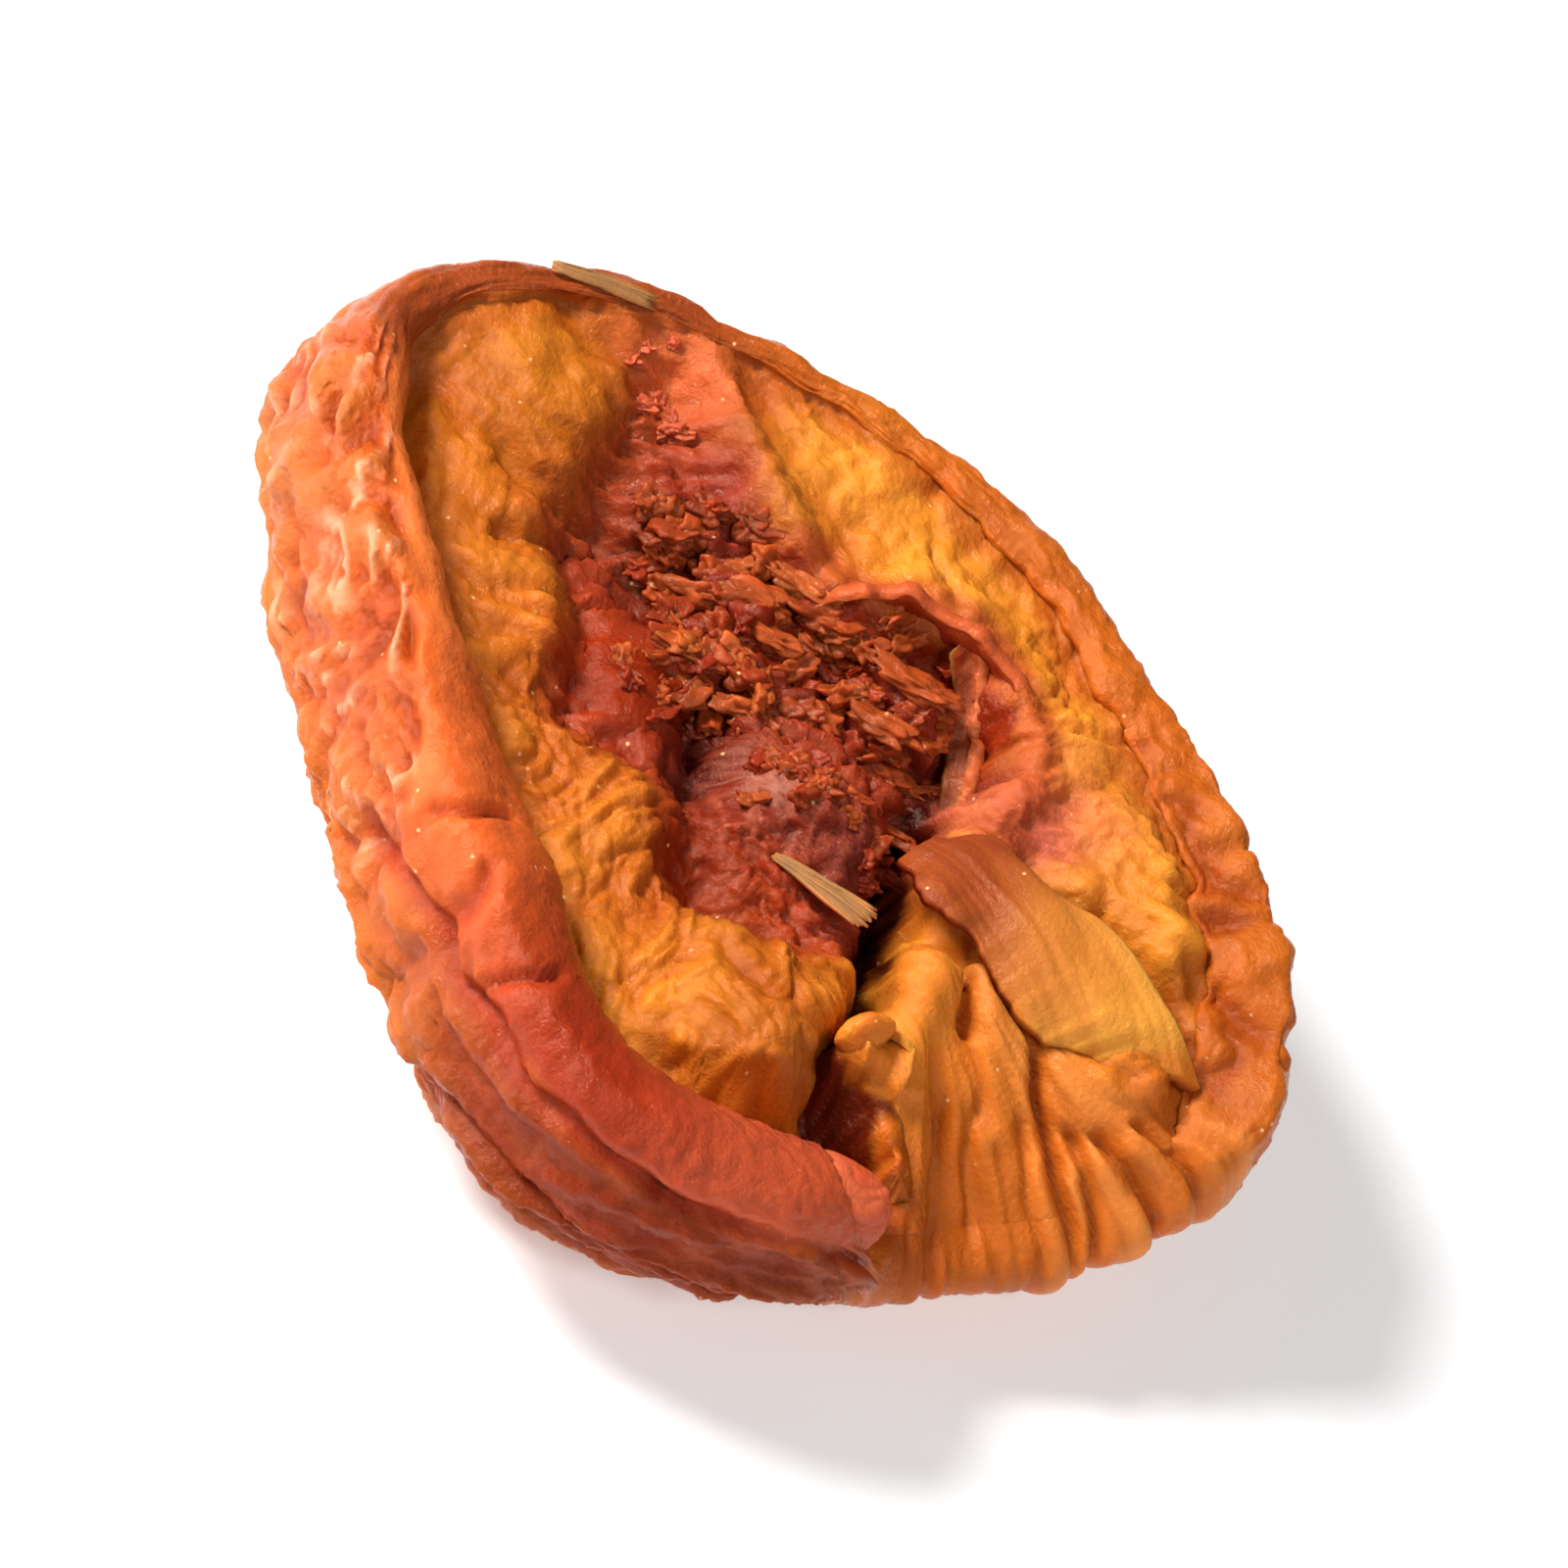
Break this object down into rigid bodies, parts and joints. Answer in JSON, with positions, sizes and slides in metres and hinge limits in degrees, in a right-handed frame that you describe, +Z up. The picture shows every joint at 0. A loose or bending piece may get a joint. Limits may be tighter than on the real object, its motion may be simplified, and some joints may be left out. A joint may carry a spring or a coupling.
{
  "type": "dried peach half",
  "caption": "Dried peach half lying cut face up: a rolled, wrinkled rim round a torn stone hollow, with a flap of flesh over the pleated stem end.",
  "frame": {"origin": "middle of the outline, on the surface that the half rests on", "axes": "+X along the longest way, towards the stem end; +Y across, away from the thick roll of the rim; +Z up, out of the cut face"},
  "size_m": [0.0618, 0.048, 0.017],
  "materials": {
    "dried_flesh": "leathery, slightly moist dried fruit, amber and orange with a crimson hollow"
  },
  "bodies": {
    "root": {"dried_peach_half": "dried_flesh"}
  },
  "joints": []
}
